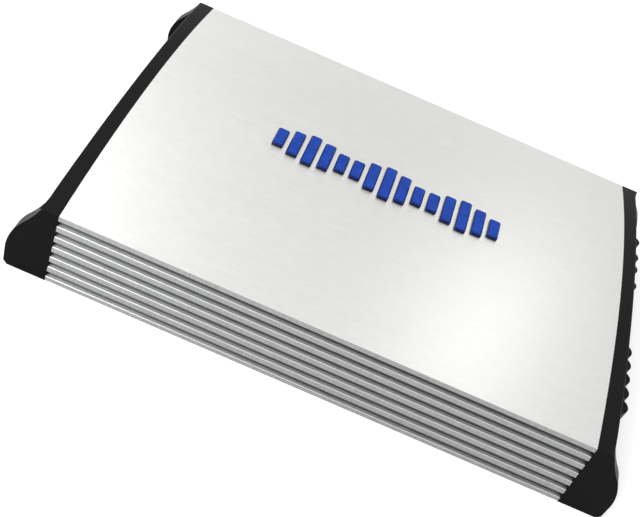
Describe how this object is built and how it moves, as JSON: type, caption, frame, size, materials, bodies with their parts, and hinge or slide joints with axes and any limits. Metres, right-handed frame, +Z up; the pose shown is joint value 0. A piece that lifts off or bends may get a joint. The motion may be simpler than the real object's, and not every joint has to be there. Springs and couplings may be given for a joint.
{
  "type": "car amplifier",
  "caption": "Car amplifier: finned aluminium heat sink with a curved brushed top, black end caps flared into feet, screw terminals and a row of blue raised bars.",
  "frame": {"origin": "on the plane the feet stand on, under the middle of the amplifier", "axes": "+Z up through the curved top, +X towards the wiring end with the screw terminals, +Y towards the rear long side"},
  "size_m": [0.35, 0.2428, 0.0583],
  "materials": {
    "brushed_aluminium": "brushed along its length, clear anodised",
    "black_plastic": "fine matte moulding texture",
    "black_steel": "black powder coat",
    "base_steel": "black powder coat",
    "black_screw": "black oxide",
    "zinc_screw": "zinc plated",
    "badge_blue": "deep blue gloss",
    "board_green": "solder mask",
    "brass": "turned",
    "terminal_plastic": "satin moulding",
    "nickel_contact": "nickel plated",
    "nickel_screw": "nickel plated",
    "fuse_green": "translucent green",
    "ferrite": "sintered ferrite",
    "copper_wire": "enamelled copper wire",
    "powder_core": "painted powder core",
    "capacitor_sleeve": "shrink sleeve",
    "chip_black": "moulded epoxy",
    "thermal_pad": "silicone pad",
    "clamp_steel": "plain steel",
    "gold_plate": "gold plated",
    "knob_black": "satin moulding",
    "lever_white": "satin moulding",
    "lamp_blue": "tinted lens",
    "lamp_red": "tinted lens"
  },
  "bodies": {
    "chassis": {"heatsink_shell": "brushed_aluminium", "base_plate": "base_steel", "base_screws": "zinc_screw", "end_cap_power": "black_plastic", "end_cap_input": "black_plastic", "power_panel": "black_steel", "input_panel": "black_steel", "panel_screws": "black_screw", "badge_bars": "badge_blue", "circuit_board": "board_green", "board_standoffs": "brass", "board_screws": "zinc_screw", "control_board": "board_green", "board_header": "terminal_plastic", "power_terminal_block": "terminal_plastic", "power_terminal_contacts": "nickel_contact", "speaker_terminal_block": "terminal_plastic", "speaker_terminal_contacts": "nickel_contact", "fuse_holder": "terminal_plastic", "fuse_contacts": "nickel_contact", "transformer_core": "ferrite", "transformer_winding": "copper_wire", "transformer_clamp": "black_steel", "choke_cores": "powder_core", "choke_windings": "copper_wire", "main_capacitors": "capacitor_sleeve", "small_capacitors": "capacitor_sleeve", "power_transistors": "chip_black", "transistor_pads": "thermal_pad", "transistor_clamps": "clamp_steel", "transistor_clamp_screws": "zinc_screw", "driver_chips": "chip_black", "rca_block": "terminal_plastic", "rca_shells": "gold_plate", "rca_contacts": "gold_plate", "potentiometer_bodies": "clamp_steel", "switch_bodies": "clamp_steel", "remote_jack": "terminal_plastic", "power_led": "lamp_blue", "protect_led": "lamp_red"},
    "power_clamp_screw_1": {"power_clamp_screw_1": "nickel_screw"},
    "power_clamp_screw_2": {"power_clamp_screw_2": "nickel_screw"},
    "power_clamp_screw_3": {"power_clamp_screw_3": "nickel_screw"},
    "power_clamp_screw_4": {"power_clamp_screw_4": "nickel_screw"},
    "power_clamp_screw_5": {"power_clamp_screw_5": "nickel_screw"},
    "speaker_clamp_screw_1": {"speaker_clamp_screw_1": "nickel_screw"},
    "speaker_clamp_screw_2": {"speaker_clamp_screw_2": "nickel_screw"},
    "speaker_clamp_screw_3": {"speaker_clamp_screw_3": "nickel_screw"},
    "speaker_clamp_screw_4": {"speaker_clamp_screw_4": "nickel_screw"},
    "fuse_1": {"fuse_1": "fuse_green"},
    "fuse_2": {"fuse_2": "fuse_green"},
    "fuse_3": {"fuse_3": "fuse_green"},
    "level_knob": {"level_knob": "knob_black"},
    "low_pass_knob": {"low_pass_knob": "knob_black"},
    "high_pass_knob": {"high_pass_knob": "knob_black"},
    "bass_boost_knob": {"bass_boost_knob": "knob_black"},
    "crossover_switch": {"crossover_switch": "lever_white"},
    "input_switch": {"input_switch": "lever_white"}
  },
  "joints": [
    {"name": "power_clamp_1_travel", "type": "slide", "parent": "chassis", "child": "power_clamp_screw_1", "axis": [0, 0, 1], "range_m": [-0.005, 0]},
    {"name": "power_clamp_2_travel", "type": "slide", "parent": "chassis", "child": "power_clamp_screw_2", "axis": [0, 0, 1], "range_m": [-0.005, 0]},
    {"name": "power_clamp_3_travel", "type": "slide", "parent": "chassis", "child": "power_clamp_screw_3", "axis": [0, 0, 1], "range_m": [-0.005, 0]},
    {"name": "power_clamp_4_travel", "type": "slide", "parent": "chassis", "child": "power_clamp_screw_4", "axis": [0, 0, 1], "range_m": [-0.005, 0]},
    {"name": "power_clamp_5_travel", "type": "slide", "parent": "chassis", "child": "power_clamp_screw_5", "axis": [0, 0, 1], "range_m": [-0.005, 0]},
    {"name": "speaker_clamp_1_travel", "type": "slide", "parent": "chassis", "child": "speaker_clamp_screw_1", "axis": [0, 0, 1], "range_m": [-0.004, 0]},
    {"name": "speaker_clamp_2_travel", "type": "slide", "parent": "chassis", "child": "speaker_clamp_screw_2", "axis": [0, 0, 1], "range_m": [-0.004, 0]},
    {"name": "speaker_clamp_3_travel", "type": "slide", "parent": "chassis", "child": "speaker_clamp_screw_3", "axis": [0, 0, 1], "range_m": [-0.004, 0]},
    {"name": "speaker_clamp_4_travel", "type": "slide", "parent": "chassis", "child": "speaker_clamp_screw_4", "axis": [0, 0, 1], "range_m": [-0.004, 0]},
    {"name": "fuse_1_pull", "type": "slide", "parent": "chassis", "child": "fuse_1", "axis": [1, 0, 0], "range_m": [0, 0.012]},
    {"name": "fuse_2_pull", "type": "slide", "parent": "chassis", "child": "fuse_2", "axis": [1, 0, 0], "range_m": [0, 0.012]},
    {"name": "fuse_3_pull", "type": "slide", "parent": "chassis", "child": "fuse_3", "axis": [1, 0, 0], "range_m": [0, 0.012]},
    {"name": "level_turn", "type": "hinge", "parent": "chassis", "child": "level_knob", "pos_m": [-0.155, 0.018, 0.026], "axis": [-1, 0, 0], "range_deg": [-140, 140]},
    {"name": "low_pass_turn", "type": "hinge", "parent": "chassis", "child": "low_pass_knob", "pos_m": [-0.155, -0.006, 0.026], "axis": [-1, 0, 0], "range_deg": [-140, 140]},
    {"name": "high_pass_turn", "type": "hinge", "parent": "chassis", "child": "high_pass_knob", "pos_m": [-0.155, -0.03, 0.026], "axis": [-1, 0, 0], "range_deg": [-140, 140]},
    {"name": "bass_boost_turn", "type": "hinge", "parent": "chassis", "child": "bass_boost_knob", "pos_m": [-0.155, -0.054, 0.026], "axis": [-1, 0, 0], "range_deg": [-140, 140]},
    {"name": "crossover_switch_slide", "type": "slide", "parent": "chassis", "child": "crossover_switch", "axis": [0, 1, 0], "range_m": [-0.0022, 0.0022]},
    {"name": "input_switch_slide", "type": "slide", "parent": "chassis", "child": "input_switch", "axis": [0, 1, 0], "range_m": [-0.0022, 0.0022]}
  ]
}
